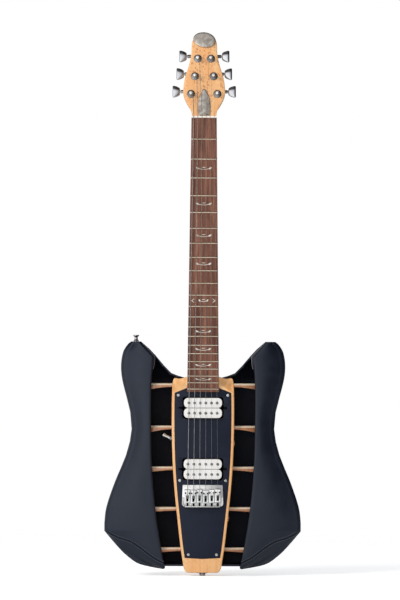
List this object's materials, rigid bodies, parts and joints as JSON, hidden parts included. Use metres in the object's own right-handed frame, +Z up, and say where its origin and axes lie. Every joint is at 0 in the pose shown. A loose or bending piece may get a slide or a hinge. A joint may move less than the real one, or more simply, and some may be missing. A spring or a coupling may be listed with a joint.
{
  "type": "electric guitar",
  "caption": "Semi-hollow electric guitar with an open frame body: a wooden spine carries the strings, and ribs tie it to black hollow shells.",
  "frame": {"origin": "on the centreline at the nut, where the nut, the fingerboard's end and the glue plane under the board meet; a hanger holds the neck there", "axes": "+Z up the neck from the body to the headstock, +Y from the strings to the back, +X to the right of someone facing the strings"},
  "size_m": [0.3386, 0.0584, 0.9367],
  "materials": {
    "maple": "gloss",
    "rosewood": "oiled",
    "nut_white": "polished",
    "tool_steel": "plain",
    "pewter": "aged",
    "shell_black": "satin",
    "plate_black": "satin",
    "coil_white": "satin",
    "chrome": "polished",
    "string_steel": "wound",
    "wheel_wood": "satin"
  },
  "bodies": {
    "root": {"neck_spine": "maple", "rib_left_1": "maple", "rib_left_2": "maple", "rib_left_3": "maple", "rib_left_4": "maple", "rib_left_5": "maple", "rib_right_1": "maple", "rib_right_2": "maple", "rib_right_3": "maple", "rib_right_4": "maple", "rib_right_5": "maple", "fingerboard": "rosewood", "nut": "nut_white", "truss_rod": "tool_steel", "selector_switch": "tool_steel", "truss_rod_cover": "pewter", "headstock_cap": "pewter", "back_shell": "shell_black", "left_wing": "shell_black", "right_wing": "shell_black", "front_plate": "plate_black", "neck_pickup": "coil_white", "bridge_pickup": "coil_white", "bridge_plate": "chrome", "tuner_1_housing": "chrome", "tuner_2_housing": "chrome", "tuner_3_housing": "chrome", "tuner_4_housing": "chrome", "tuner_5_housing": "chrome", "tuner_6_housing": "chrome", "horn_strap_button": "chrome", "end_strap_button": "chrome", "output_jack": "chrome", "string_1": "string_steel", "string_2": "string_steel", "string_3": "string_steel", "string_4": "string_steel", "string_5": "string_steel", "string_6": "string_steel"},
    "tuner_1_button": {"tuner_1_button": "chrome"},
    "tuner_1_post": {"tuner_1_post": "chrome"},
    "tuner_2_button": {"tuner_2_button": "chrome"},
    "tuner_2_post": {"tuner_2_post": "chrome"},
    "tuner_3_button": {"tuner_3_button": "chrome"},
    "tuner_3_post": {"tuner_3_post": "chrome"},
    "tuner_4_button": {"tuner_4_button": "chrome"},
    "tuner_4_post": {"tuner_4_post": "chrome"},
    "tuner_5_button": {"tuner_5_button": "chrome"},
    "tuner_5_post": {"tuner_5_post": "chrome"},
    "tuner_6_button": {"tuner_6_button": "chrome"},
    "tuner_6_post": {"tuner_6_post": "chrome"},
    "saddle_1": {"saddle_1": "chrome"},
    "saddle_2": {"saddle_2": "chrome"},
    "saddle_3": {"saddle_3": "chrome"},
    "saddle_4": {"saddle_4": "chrome"},
    "saddle_5": {"saddle_5": "chrome"},
    "saddle_6": {"saddle_6": "chrome"},
    "selector_lever": {"selector_lever": "chrome"},
    "volume_wheel": {"volume_wheel": "wheel_wood"},
    "tone_wheel": {"tone_wheel": "wheel_wood"}
  },
  "joints": [
    {"name": "tuner_1_turn", "type": "hinge", "parent": "root", "child": "tuner_1_button", "pos_m": [-0.02271, 0.02894, 0.0463], "axis": [-1, 0, 0], "continuous": true},
    {"name": "tuner_1_wind", "type": "hinge", "parent": "root", "child": "tuner_1_post", "pos_m": [-0.02271, 0.00602, 0.04163], "axis": [0, 0.9877, -0.1564], "continuous": true},
    {"name": "tuner_2_turn", "type": "hinge", "parent": "root", "child": "tuner_2_button", "pos_m": [-0.0161, 0.03379, 0.07692], "axis": [-1, 0, 0], "continuous": true},
    {"name": "tuner_2_wind", "type": "hinge", "parent": "root", "child": "tuner_2_post", "pos_m": [-0.0161, 0.01087, 0.07224], "axis": [0, 0.9877, -0.1564], "continuous": true},
    {"name": "tuner_3_turn", "type": "hinge", "parent": "root", "child": "tuner_3_button", "pos_m": [-0.01141, 0.03864, 0.10754], "axis": [-1, 0, 0], "continuous": true},
    {"name": "tuner_3_wind", "type": "hinge", "parent": "root", "child": "tuner_3_post", "pos_m": [-0.01141, 0.01572, 0.10286], "axis": [0, 0.9877, -0.1564], "continuous": true},
    {"name": "tuner_4_turn", "type": "hinge", "parent": "root", "child": "tuner_4_button", "pos_m": [0.01141, 0.03864, 0.10754], "axis": [1, 0, 0], "continuous": true},
    {"name": "tuner_4_wind", "type": "hinge", "parent": "root", "child": "tuner_4_post", "pos_m": [0.01141, 0.01572, 0.10286], "axis": [0, 0.9877, -0.1564], "continuous": true},
    {"name": "tuner_5_turn", "type": "hinge", "parent": "root", "child": "tuner_5_button", "pos_m": [0.0161, 0.03379, 0.07692], "axis": [1, 0, 0], "continuous": true},
    {"name": "tuner_5_wind", "type": "hinge", "parent": "root", "child": "tuner_5_post", "pos_m": [0.0161, 0.01087, 0.07224], "axis": [0, 0.9877, -0.1564], "continuous": true},
    {"name": "tuner_6_turn", "type": "hinge", "parent": "root", "child": "tuner_6_button", "pos_m": [0.02271, 0.02894, 0.0463], "axis": [1, 0, 0], "continuous": true},
    {"name": "tuner_6_wind", "type": "hinge", "parent": "root", "child": "tuner_6_post", "pos_m": [0.02271, 0.00602, 0.04163], "axis": [0, 0.9877, -0.1564], "continuous": true},
    {"name": "saddle_1_slide", "type": "slide", "parent": "root", "child": "saddle_1", "axis": [0, 0, 1], "range_m": [-0.003, 0.003]},
    {"name": "saddle_2_slide", "type": "slide", "parent": "root", "child": "saddle_2", "axis": [0, 0, 1], "range_m": [-0.003, 0.003]},
    {"name": "saddle_3_slide", "type": "slide", "parent": "root", "child": "saddle_3", "axis": [0, 0, 1], "range_m": [-0.003, 0.003]},
    {"name": "saddle_4_slide", "type": "slide", "parent": "root", "child": "saddle_4", "axis": [0, 0, 1], "range_m": [-0.003, 0.003]},
    {"name": "saddle_5_slide", "type": "slide", "parent": "root", "child": "saddle_5", "axis": [0, 0, 1], "range_m": [-0.003, 0.003]},
    {"name": "saddle_6_slide", "type": "slide", "parent": "root", "child": "saddle_6", "axis": [0, 0, 1], "range_m": [-0.003, 0.003]},
    {"name": "selector_swing", "type": "hinge", "parent": "root", "child": "selector_lever", "pos_m": [-0.0553, 0.013, -0.55136], "axis": [0, -1, 0], "range_deg": [0, 54]},
    {"name": "volume_turn", "type": "hinge", "parent": "root", "child": "volume_wheel", "pos_m": [0.0435, 0.0149, -0.55976], "axis": [0, 1, 0], "range_deg": [0, 270]},
    {"name": "tone_turn", "type": "hinge", "parent": "root", "child": "tone_wheel", "pos_m": [0.03397, 0.0149, -0.6885], "axis": [0, 1, 0], "range_deg": [0, 270]}
  ],
  "couplings": [
    {"joint": "tuner_1_wind", "follows": "tuner_1_turn", "ratio": -0.071429},
    {"joint": "tuner_2_wind", "follows": "tuner_2_turn", "ratio": -0.071429},
    {"joint": "tuner_3_wind", "follows": "tuner_3_turn", "ratio": -0.071429},
    {"joint": "tuner_4_wind", "follows": "tuner_4_turn", "ratio": 0.071429},
    {"joint": "tuner_5_wind", "follows": "tuner_5_turn", "ratio": 0.071429},
    {"joint": "tuner_6_wind", "follows": "tuner_6_turn", "ratio": 0.071429}
  ]
}
